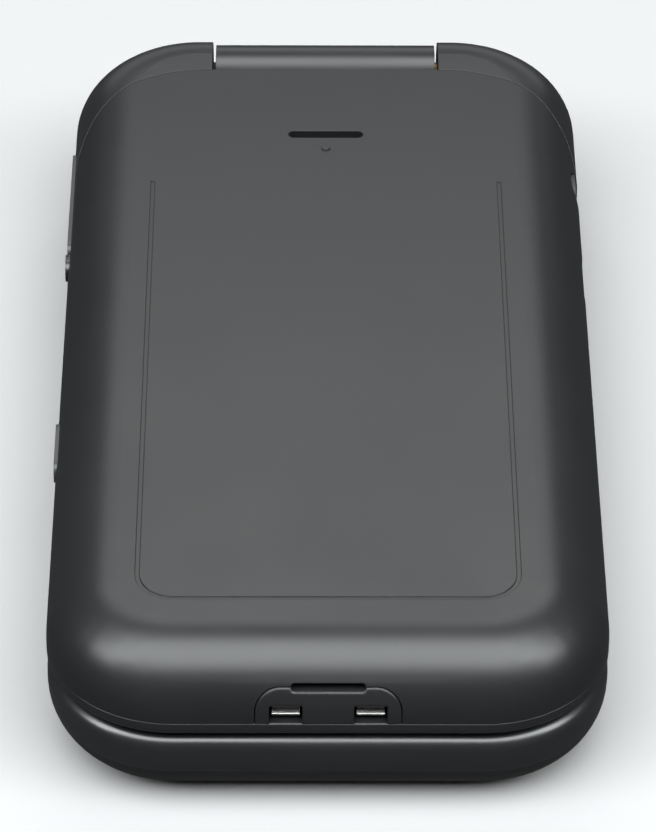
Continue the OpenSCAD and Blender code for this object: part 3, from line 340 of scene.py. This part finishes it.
def liquid_crystal_cell():
    """Dark glass with a grid of picture elements."""
    material, tree, shader = new_material("liquid_crystal_cell", Roughness=0.18, IOR=1.52)
    place = add_node(tree, "ShaderNodeTexCoord").outputs["Object"]
    grid = add_node(tree, "ShaderNodeTexBrick", {"offset": 0.0}, Vector=place, Scale=1 / (PIXEL_MM * MM),
                    Color1=linear("#22252A"), Color2=linear("#25282E"), Mortar=linear("#121316"),
                    Mortar_Size=0.06, Brick_Width=1.0, Row_Height=1.0)
    feed(tree, shader, Base_Color=grid.outputs["Color"])
    return material


dress(liquid_crystal_cell(), "main_display", "outer_display")
print("nodes dressed so far, with the displays:", len(dressed))

# %% [markdown]
# Metal parts differ by how they were made. Rolled steel keeps fine lines along the strip, turned pieces
# have rings about their axis, and plated or blackened ones are smoother and tinted. One function draws
# them all: a noise stretched along one axis gives the lines, and it breaks both the height and the
# roughness. A small scale on an axis makes the pattern long on that axis. The lines are drawn at a twelfth
# of a millimetre, twice as coarse as they are.

# %% Worked metals
LINE_MM = 0.08
STAIN_MM = 3.0
METAL_EDGE_MM = 0.08
METAL_ROUGHNESS_CHANGE = 0.06
LINES_ALONG_X = (0.04, 1.0, 1.0)
RINGS_ABOUT_X = (1.0, 0.04, 0.04)
LINES_ALONG_Z = (1.0, 1.0, 0.1)


def worked_metal(name, hex_colour, roughness, stretch=LINES_ALONG_X, depth_mm=0.0015):
    """Metal with tool lines along the axis that stretch makes long."""
    material, tree, shader = new_material(name, Metallic=1.0)
    place = add_node(tree, "ShaderNodeTexCoord").outputs["Object"]
    along = add_node(tree, "ShaderNodeMapping", Vector=place, Scale=stretch)
    lines = add_node(tree, "ShaderNodeTexNoise", Vector=along.outputs["Vector"], Scale=1 / (LINE_MM * MM),
                     Detail=3.0, Roughness=0.6)
    stain = add_node(tree, "ShaderNodeTexNoise", Vector=place, Scale=1 / (STAIN_MM * MM), Detail=3.0)
    tone = add_node(tree, "ShaderNodeMix", {"data_type": "RGBA"}, i0=stain.outputs["Fac"],
                    i6=shade(hex_colour, 0.9), i7=shade(hex_colour, 1.08))
    rough = add_node(tree, "ShaderNodeMapRange", Value=lines.outputs["Fac"],
                     From_Min=NOISE_LOW, From_Max=NOISE_HIGH,
                     To_Min=roughness - METAL_ROUGHNESS_CHANGE, To_Max=roughness + METAL_ROUGHNESS_CHANGE)
    edge = add_node(tree, "ShaderNodeBevel", {"samples": 4}, Radius=METAL_EDGE_MM * MM)
    bump = add_node(tree, "ShaderNodeBump", Strength=1.0, Distance=depth_mm * MM, Height=lines.outputs["Fac"],
                    Normal=edge.outputs["Normal"])
    feed(tree, shader, Base_Color=tone.outputs[2], Roughness=rough.outputs["Result"],
         Normal=bump.outputs["Normal"])
    return material


rolled_steel = worked_metal("rolled_stainless_steel", "#B9BBBE", 0.3)
turned_steel = worked_metal("turned_steel", "#B4B6BA", 0.25, stretch=RINGS_ABOUT_X)
black_oxide = worked_metal("black_oxide_steel", "#4A4C50", 0.35, stretch=LINES_ALONG_Z)
turned_brass = worked_metal("turned_brass", "#C9A45C", 0.25, stretch=RINGS_ABOUT_X)
gold_flash = worked_metal("gold_flash_on_nickel", "#D8B978", 0.22)
bright_nickel = worked_metal("bright_nickel_plating", "#C9C8C4", 0.2, depth_mm=0.001)
dress(rolled_steel, "closing_magnet", "shield_cans", "sim_holder", "vibration_motor", "usb_socket")
dress(turned_steel, "hinge_cartridge", "hinge_spring", "hinge_follower")
dress(black_oxide, "lid_screws", "base_screws", "hinge_shaft")
dress(turned_brass, "hinge_bushing")
dress(gold_flash, "battery_contacts", "microphone")
dress(bright_nickel, "charging_contacts")
print("nodes dressed so far, with the metals:", len(dressed))

# %% [markdown]
# The camera's ring is turned aluminium, plated bright. A cutting tool leaves rings about the lens axis, a
# tenth of a millimetre apart, drawn here at a quarter. A wave texture in rings, moved to the lens axis,
# gives them. At a scale of 1 this texture repeats every pi / 10, which sets the scale for a real distance.
# The lens is coated glass, nearly black. The violet that its coating reflects is painted into its colour as
# a painted reflection, strongest where one looks at it steeply.

# %% Camera ring and lens
RING_MM = 0.25
RING_DEPTH_MM = 0.002
WAVE_PERIOD = math.pi / 10


def turned_ring(centre_x, centre_y):
    """Bright metal with fine rings about a centre."""
    material, tree, shader = new_material("bright_plated_aluminium", Metallic=1.0, Roughness=0.14,
                                          Base_Color=linear("#CFD1D3"))
    place = add_node(tree, "ShaderNodeTexCoord").outputs["Object"]
    centred = add_node(tree, "ShaderNodeMapping", Vector=place, Location=(-centre_x, -centre_y, 0.0))
    rings = add_node(tree, "ShaderNodeTexWave", {"wave_type": "RINGS", "rings_direction": "Z"},
                     Vector=centred.outputs["Vector"], Scale=WAVE_PERIOD / (RING_MM * MM), Distortion=0.0)
    bump = add_node(tree, "ShaderNodeBump", Strength=1.0, Distance=RING_DEPTH_MM * MM,
                    Height=rings.outputs["Fac"])
    feed(tree, shader, Normal=bump.outputs["Normal"])
    return material


def coated_lens():
    """Nearly black glass with a painted violet reflection where it faces the view."""
    material, tree, shader = new_material("coated_lens_glass", Roughness=0.03, IOR=1.52, Coat_Weight=1.0)
    # Painted reflection: the colour turns violet where the lens faces the view, as its coating's reflection
    # does.
    facing = add_node(tree, "ShaderNodeLayerWeight", Blend=0.3)
    painted_violet_reflection = add_node(tree, "ShaderNodeMix", {"data_type": "RGBA"}, i0=facing.outputs["Facing"],
                    i6=linear("#1C1530"), i7=linear("#07080B"))
    feed(tree, shader, Base_Color=painted_violet_reflection.outputs[2])
    return material


dress(turned_ring(*middle("camera_ring")), "camera_ring")
dress(coated_lens(), "camera_lens")
print("nodes dressed so far, with the camera:", len(dressed))

# %% [markdown]
# The circuit boards are glass fibre sheet under green solder mask. The mask is glossy and lets the copper
# tracks show as lighter green lines. A brick pattern gives runs of tracks that start and stop, about a
# third of a millimetre wide.

# %% Boards
TRACK_MM = 0.35
TRACK_DEPTH_MM = 0.02


def solder_mask():
    """Green mask with lighter runs of tracks."""
    material, tree, shader = new_material("green_solder_mask", Roughness=0.25, IOR=1.55)
    place = add_node(tree, "ShaderNodeTexCoord").outputs["Object"]
    tracks = add_node(tree, "ShaderNodeTexBrick", {"offset": 0.37, "squash": 2.2, "squash_frequency": 3},
                      Vector=place, Scale=1 / (TRACK_MM * MM), Color1=linear("#0E4A2C"),
                      Color2=linear("#17603A"), Mortar=linear("#0A3A22"), Mortar_Size=0.22,
                      Brick_Width=14.0, Row_Height=1.6)
    bump = add_node(tree, "ShaderNodeBump", Strength=1.0, Distance=TRACK_DEPTH_MM * MM,
                    Height=tracks.outputs["Fac"])
    feed(tree, shader, Base_Color=tracks.outputs["Color"], Normal=bump.outputs["Normal"])
    return material


dress(solder_mask(), "lid_board", "main_board")
print("nodes dressed so far, with the boards:", len(dressed))

# %% [markdown]
# Polyimide film carries the flexible circuit through the hinge and the dome sheet under the keys. It is
# clear amber over copper, so it looks orange brown with fine darker lines between the conductors. The strip
# in the hinge has a second, darker cover film against wear.

# %% Polyimide film
CONDUCTOR_MM = 0.4


def polyimide_film(name, dark, light):
    """Amber film over a row of conductors."""
    material, tree, shader = new_material(name, Roughness=0.3, IOR=1.7)
    place = add_node(tree, "ShaderNodeTexCoord").outputs["Object"]
    lines = add_node(tree, "ShaderNodeTexWave", {"bands_direction": "X"}, Vector=place,
                     Scale=WAVE_PERIOD / (CONDUCTOR_MM * MM), Distortion=0.0)
    colour = add_node(tree, "ShaderNodeMix", {"data_type": "RGBA"}, i0=lines.outputs["Fac"],
                      i6=linear(dark), i7=linear(light))
    feed(tree, shader, Base_Color=colour.outputs[2])
    return material


dress(polyimide_film("polyimide_film", "#7A4A1C", "#B9792F"), "dome_sheet")
dress(polyimide_film("covered_polyimide_film", "#2B1D0F", "#46301A"), "hinge_flex")
print("nodes dressed so far, with the films:", len(dressed))

# %% [markdown]
# Rubber and silicone are soft and matt. Rubber bumpers are near black with a faint bloom of dust, and the
# silicone mat under the keys is grey and smoother. Both scatter the light so widely that no edge of a lamp
# shows in them.

# %% Rubber and silicone
DUST_ROUGHNESS_CHANGE = 0.08


def soft_rubber(name, hex_colour, roughness, dust_mm):
    """Matt rubber with a bloom of dust."""
    material, tree, shader = new_material(name, IOR=1.45, Specular_IOR_Level=0.35)
    place = add_node(tree, "ShaderNodeTexCoord").outputs["Object"]
    dust = add_node(tree, "ShaderNodeTexNoise", Vector=place, Scale=1 / (dust_mm * MM), Detail=5.0,
                    Roughness=0.7)
    tone = add_node(tree, "ShaderNodeMix", {"data_type": "RGBA"}, i0=dust.outputs["Fac"],
                    i6=shade(hex_colour, 0.85), i7=shade(hex_colour, 1.3))
    rough = add_node(tree, "ShaderNodeMapRange", Value=dust.outputs["Fac"],
                     From_Min=NOISE_LOW, From_Max=NOISE_HIGH,
                     To_Min=roughness - DUST_ROUGHNESS_CHANGE, To_Max=roughness + DUST_ROUGHNESS_CHANGE)
    feed(tree, shader, Base_Color=tone.outputs[2], Roughness=rough.outputs["Result"])
    return material


dress(soft_rubber("nitrile_rubber", "#1B1C1D", 0.7, 0.3), "lid_bumpers", "screw_plugs")
dress(soft_rubber("silicone_rubber", "#4A4D50", 0.5, 0.8), "keypad_mat")
print("nodes dressed so far, with the soft parts:", len(dressed))

# %% [markdown]
# The battery is a flat cell in a shrunk polyester wrap. The film is thin and a little slack, so its gloss
# ripples in long waves, a few millimetres apart.

# %% Battery wrap
RIPPLE_MM = 5.0
RIPPLE_DEPTH_MM = 0.03


def polyester_wrap():
    """Grey film whose gloss ripples."""
    material, tree, shader = new_material("shrunk_polyester_wrap", Roughness=0.32, IOR=1.6)
    place = add_node(tree, "ShaderNodeTexCoord").outputs["Object"]
    ripple = add_node(tree, "ShaderNodeTexNoise", Vector=place, Scale=1 / (RIPPLE_MM * MM), Detail=2.0)
    tone = add_node(tree, "ShaderNodeMix", {"data_type": "RGBA"}, i0=ripple.outputs["Fac"],
                    i6=linear("#3C3F44"), i7=linear("#474A50"))
    bump = add_node(tree, "ShaderNodeBump", Strength=1.0, Distance=RIPPLE_DEPTH_MM * MM,
                    Height=ripple.outputs["Fac"])
    feed(tree, shader, Base_Color=tone.outputs[2], Normal=bump.outputs["Normal"])
    return material


dress(polyester_wrap(), "battery")
print("nodes dressed so far, with the battery:", len(dressed))

# %% [markdown]
# The slot in the cover is closed from behind by a woven acoustic mesh: black polyester threads, a tenth of
# a millimetre thick. Two wave textures, one across and one along, make the over and under of the weave, and
# their product is low in the holes, which are painted near black as painted shade of the dark space behind
# the mesh. The weave is drawn at a quarter of a millimetre, a little coarser than it is, so that it shows.

# %% Acoustic mesh
THREAD_MM = 0.25
THREAD_DEPTH_MM = 0.05


def acoustic_mesh():
    """Black woven threads, with painted shade in the holes between them."""
    material, tree, shader = new_material("woven_acoustic_mesh", Roughness=0.6, IOR=1.5)
    place = add_node(tree, "ShaderNodeTexCoord").outputs["Object"]
    warp, weft = [add_node(tree, "ShaderNodeTexWave", {"bands_direction": axis}, Vector=place,
                           Scale=WAVE_PERIOD / (THREAD_MM * MM), Distortion=0.0) for axis in "XY"]
    weave = add_node(tree, "ShaderNodeMath", {"operation": "MULTIPLY"}, i0=warp.outputs["Fac"],
                     i1=weft.outputs["Fac"])
    # Painted shade: where the product of the two waves is low, in the holes, the colour is near black.
    colour = add_node(tree, "ShaderNodeMix", {"data_type": "RGBA"}, i0=weave.outputs[0],
                      i6=linear("#050505"), i7=linear("#1A1A1B"))
    bump = add_node(tree, "ShaderNodeBump", Strength=1.0, Distance=THREAD_DEPTH_MM * MM,
                    Height=weave.outputs[0])
    feed(tree, shader, Base_Color=colour.outputs[2], Normal=bump.outputs["Normal"])
    return material


dress(acoustic_mesh(), "speaker_mesh")
print("nodes dressed so far, with the mesh:", len(dressed))

# %% [markdown]
# Key caps are ABS, moulded in colour and painted, then clear coated, so they are smoother than the casing.
# The number keys are grey, the soft keys and the navigation ring lighter, and the two call keys keep the
# green and red that phones share. The side keys are a shade lighter than the casing.

# %% Key caps
NUMBER_KEYS = {"key_1": "1", "key_2": "2", "key_3": "3", "key_4": "4", "key_5": "5", "key_6": "6",
               "key_7": "7", "key_8": "8", "key_9": "9", "key_star": "*", "key_0": "0", "key_hash": "#"}
dress(moulded_plastic("painted_abs_grey", "#54575B", 0.33, 0.001), *NUMBER_KEYS)
dress(moulded_plastic("painted_abs_light_grey", "#6F7276", 0.3, 0.001), "soft_key_left", "soft_key_right",
      "nav_ring")
dress(moulded_plastic("painted_abs_green", "#2F6D43", 0.32, 0.001), "call_key")
dress(moulded_plastic("painted_abs_red", "#83302E", 0.32, 0.001), "end_key")
dress(moulded_plastic("painted_abs_silver", "#8A8D91", 0.25, 0.001), "ok_key")
dress(moulded_plastic("satin_abs_dark", "#35373A", 0.36, 0.002), "volume_rocker", "emergency_key")
print("dressed nodes:", len(dressed), "left bare:", sorted(set(nodes) - dressed))

# %% [markdown]
# Digits are pad printed on the caps in a white ink, a few hundredths of a millimetre thick. They could
# be a texture, but a real print has an edge that catches light, so each one is a thin solid: a text curve
# with a little thickness, turned into a mesh. The keypad faces down while the phone is closed, so a print
# is turned over about the length of the phone before it is moved to its key. Its middle lies a quarter of
# the ink's thickness inside the key, so that the ink stands on the face and leaves no gap under it.

# %% Printed digits
INK_MM = 0.04
SINK = 0.25
INK_GRAIN_MM = 0.12
DIGIT_MM = 4.2


def printing_ink():
    """White ink that covers a little unevenly."""
    material, tree, shader = new_material("white_printing_ink", Roughness=0.45, IOR=1.5)
    place = add_node(tree, "ShaderNodeTexCoord").outputs["Object"]
    cover = add_node(tree, "ShaderNodeTexNoise", Vector=place, Scale=1 / (INK_GRAIN_MM * MM), Detail=2.0)
    colour = add_node(tree, "ShaderNodeMix", {"data_type": "RGBA"}, i0=cover.outputs["Fac"],
                      i6=linear("#CFD1D2"), i7=linear("#E6E7E8"))
    feed(tree, shader, Base_Color=colour.outputs[2])
    return material


ink = printing_ink()


def lay_on_key(mesh, key):
    """Turns a print drawn in millimetres over, lays it on a key's face and lets it ride on the key."""
    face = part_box(key)[0][2]
    place = Vector((*middle(key), face + SINK * INK_MM * MM))
    mesh.transform(Matrix.Translation(place) @ Matrix.Rotation(math.pi, 4, "Y") @ Matrix.Scale(MM, 4))
    mesh.materials.clear()
    mesh.materials.append(ink)
    piece = bpy.data.objects.new(key + "_print", mesh)
    bpy.context.scene.collection.objects.link(piece)
    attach(piece, key + "_body")


def digit_mesh(text, size):
    """A digit as a thin solid mesh, centred on the origin, in millimetres."""
    curve = bpy.data.curves.new("print", "FONT")
    curve.body = text
    curve.size = size
    curve.align_x = "CENTER"
    curve.align_y = "CENTER"
    curve.extrude = INK_MM / 2
    curve.resolution_u = 6
    holder = bpy.data.objects.new("print", curve)
    bpy.context.scene.collection.objects.link(holder)
    bpy.context.view_layer.update()
    mesh = bpy.data.meshes.new_from_object(holder.evaluated_get(bpy.context.evaluated_depsgraph_get()))
    bpy.data.objects.remove(holder)
    spans = [[vertex.co[axis] for vertex in mesh.vertices] for axis in (0, 1)]
    off_x, off_y = [(min(span) + max(span)) / 2 for span in spans]
    mesh.transform(Matrix.Translation((-off_x, -off_y, 0.0)))
    return mesh


for key, text in NUMBER_KEYS.items():
    lay_on_key(digit_mesh(text, DIGIT_MM), key)
print("digits printed:", len(NUMBER_KEYS))

# %% [markdown]
# The call keys carry the handset sign that phones share: a bar bent round a centre, with a thick ear piece
# and mouth piece at its ends. A grid of narrow cells is bent by moving its corners, because the bar's width
# changes on its way, and solidify gives it the thickness of the ink. On the green key the handset stands
# ready to lift, and on the red key it lies on its rest.

# %% Handset signs
HANDSET_BEND = math.radians(62)
HANDSET_RADIUS_MM = 1.5
HANDSET_BAR_MM = 0.24
HANDSET_END_MM = 0.62
HANDSET_DROP_MM = 0.9
END_START = 0.5
END_SLOPE = 0.2
LIFTED = math.radians(50)
AT_REST = 0.0


def solid_print(bm, name):
    """Gives a flat shape the thickness of the ink, centred on its height, and returns it as a mesh."""
    bmesh.ops.recalc_face_normals(bm, faces=bm.faces)
    bmesh.ops.solidify(bm, geom=bm.faces, thickness=INK_MM)
    bmesh.ops.recalc_face_normals(bm, faces=bm.faces)
    heights = [vertex.co.z for vertex in bm.verts]
    bmesh.ops.translate(bm, vec=(0.0, 0.0, -(min(heights) + max(heights)) / 2), verts=bm.verts)
    mesh = bpy.data.meshes.new(name)
    bm.to_mesh(mesh)
    bm.free()
    return mesh


def handset_mesh(turn):
    """A handset, bent over the origin and turned."""
    bm = bmesh.new()
    bmesh.ops.create_grid(bm, x_segments=20, y_segments=1, size=1.0)
    for vertex in bm.verts:
        swell = min(1.0, max(0.0, (abs(vertex.co.x) - END_START) / END_SLOPE))
        reach = HANDSET_RADIUS_MM + HANDSET_BAR_MM / 2
        if vertex.co.y <= 0:
            reach = HANDSET_RADIUS_MM - HANDSET_BAR_MM / 2 - HANDSET_END_MM * swell
        angle = math.pi / 2 - vertex.co.x * HANDSET_BEND
        vertex.co.x = reach * math.cos(angle)
        vertex.co.y = reach * math.sin(angle) - HANDSET_DROP_MM
    bmesh.ops.rotate(bm, verts=bm.verts, cent=(0, 0, 0), matrix=Matrix.Rotation(turn, 3, "Z"))
    return solid_print(bm, "handset")


for key, turn in (("call_key", LIFTED), ("end_key", AT_REST)):
    lay_on_key(handset_mesh(turn), key)

# %% [markdown]
# The soft keys carry a short bar each, the navigation ring four small arrows, and the middle key a ring.
# The bars and arrows are a grid and three-sided circles, and the ring is a short edge spun about the key's
# middle. All are thin solids, as the digits are.

# %% Bars, arrows and ring
BAR_HALF_MM = (1.5, 0.16)
ARROW_MM = 0.75
ARROW_FLATNESS = 0.7
ARROW_PLACE_MM = 6.35
SIGN_RING_MM = 1.5
SIGN_RING_WIDTH_MM = 0.3


def bar_mesh():
    """A short bar across the key."""
    bm = bmesh.new()
    bmesh.ops.create_grid(bm, x_segments=1, y_segments=1, size=1.0)
    bmesh.ops.scale(bm, vec=(*BAR_HALF_MM, 1.0), verts=bm.verts)
    return solid_print(bm, "bar")


def arrows_mesh():
    """Four arrows that point away from the middle."""
    bm = bmesh.new()
    for quarter in range(4):
        angle = quarter * math.pi / 2
        place = Matrix.Rotation(angle, 4, "Z") @ Matrix.Translation((ARROW_PLACE_MM, 0, 0))
        turned = place @ Matrix.Rotation(-math.pi / 2, 4, "Z")
        flat = turned @ Matrix.Diagonal((1.0, ARROW_FLATNESS, 1.0, 1.0))
        bmesh.ops.create_circle(bm, cap_ends=True, segments=3, radius=ARROW_MM, matrix=flat)
    return solid_print(bm, "arrows")


def ring_mesh(radius, width):
    """A flat ring about the origin."""
    bm = bmesh.new()
    ends = [bm.verts.new((radius + side * width / 2, 0, 0)) for side in (-1, 1)]
    edge = bm.edges.new(ends)
    bmesh.ops.spin(bm, geom=ends + [edge], cent=(0, 0, 0), axis=(0, 0, 1), angle=2 * math.pi, steps=32,
                   use_merge=True)
    return solid_print(bm, "ring")


lay_on_key(bar_mesh(), "soft_key_left")
lay_on_key(bar_mesh(), "soft_key_right")
lay_on_key(arrows_mesh(), "nav_ring")
lay_on_key(ring_mesh(SIGN_RING_MM, SIGN_RING_WIDTH_MM), "ok_key")

# %% [markdown]
# The charging contacts are strips of plated spring bronze, bent so that a short slope bows forward in each
# window of the block. The cradle's pins press on the slope, and it is this slope that catches the light
# from above as a bright bar, while the strip below it turns down and stays dark. A strip is a chain of
# points along its bent side view, extruded across and thickened. The path below is that side view, as y
# and z in millimetres, from the foot inside the block forward and down. The strips replace the plain CAD
# contacts and stay within their space.

# %% Charging contact springs
CONTACT_WIDTH_MM = 3.0
STRIP_MM = 0.16
STRIP_WIDTH_MM = 2.7
STRIP_PATH_MM = ((-50.7, 12.3), (-52.3, 12.3), (-52.5, 12.45), (-52.52, 13.3), (-52.66, 13.36),
                 (-52.74, 13.2), (-52.74, 12.66), (-52.84, 12.52), (-53.36, 12.2), (-53.44, 12.08),
                 (-53.36, 11.96), (-53.0, 11.78), (-52.84, 11.66))


def contact_springs():
    """Both bent strips as one mesh, in metres."""
    pitch_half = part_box("charging_contacts")[1][0] - CONTACT_WIDTH_MM / 2 * MM
    bm = bmesh.new()
    for side in (-1, 1):
        left = side * pitch_half - STRIP_WIDTH_MM / 2 * MM
        points = [bm.verts.new((left, y * MM, z * MM)) for y, z in STRIP_PATH_MM]
        edges = [bm.edges.new(pair) for pair in zip(points, points[1:])]
        swept = bmesh.ops.extrude_edge_only(bm, edges=edges)
        moved = [item for item in swept["geom"] if isinstance(item, bmesh.types.BMVert)]
        bmesh.ops.translate(bm, vec=(STRIP_WIDTH_MM * MM, 0, 0), verts=moved)
    bmesh.ops.recalc_face_normals(bm, faces=bm.faces)
    bmesh.ops.solidify(bm, geom=bm.faces, thickness=STRIP_MM * MM)
    bmesh.ops.recalc_face_normals(bm, faces=bm.faces)
    mesh = bpy.data.meshes.new("contact_springs")
    bm.to_mesh(mesh)
    bm.free()
    return mesh


springs = bpy.data.objects.new("contact_springs", contact_springs())
bpy.context.scene.collection.objects.link(springs)
springs.data.materials.append(bright_nickel)
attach(springs, "base")
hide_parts("charging_contacts")
print("contact springs:", len(springs.data.polygons), "faces")

# %% [markdown]
# The floor is a plain sheet of pale matt board, large enough that its edge never shows. It lies a tenth of
# a millimetre below the phone, because two faces in one plane would show as stripes from below. A dark
# glossy object on a pale floor mirrors it in its sides. In a studio, black cards are laid round such an
# object to keep the sides dark, but here they would show. So the floor is left out of mirror rays, which
# does the same.

# %% Floor
FLOOR_GAP_MM = 0.1
FLOOR_HALF_M = 3.0


def add_floor():
    """A square sheet just below the phone."""
    bm = bmesh.new()
    bmesh.ops.create_grid(bm, x_segments=1, y_segments=1, size=FLOOR_HALF_M,
                          matrix=Matrix.Translation((0.0, 0.0, -FLOOR_GAP_MM * MM)))
    mesh = bpy.data.meshes.new("floor")
    bm.to_mesh(mesh)
    bm.free()
    mesh.materials.append(new_material("matt_board", Base_Color=linear("#B2B2B2"), Roughness=0.9)[0])
    sheet = bpy.data.objects.new("floor", mesh)
    bpy.context.scene.collection.objects.link(sheet)
    sheet.visible_glossy = False
    return sheet


floor = add_floor()
print("floor:", floor.name)
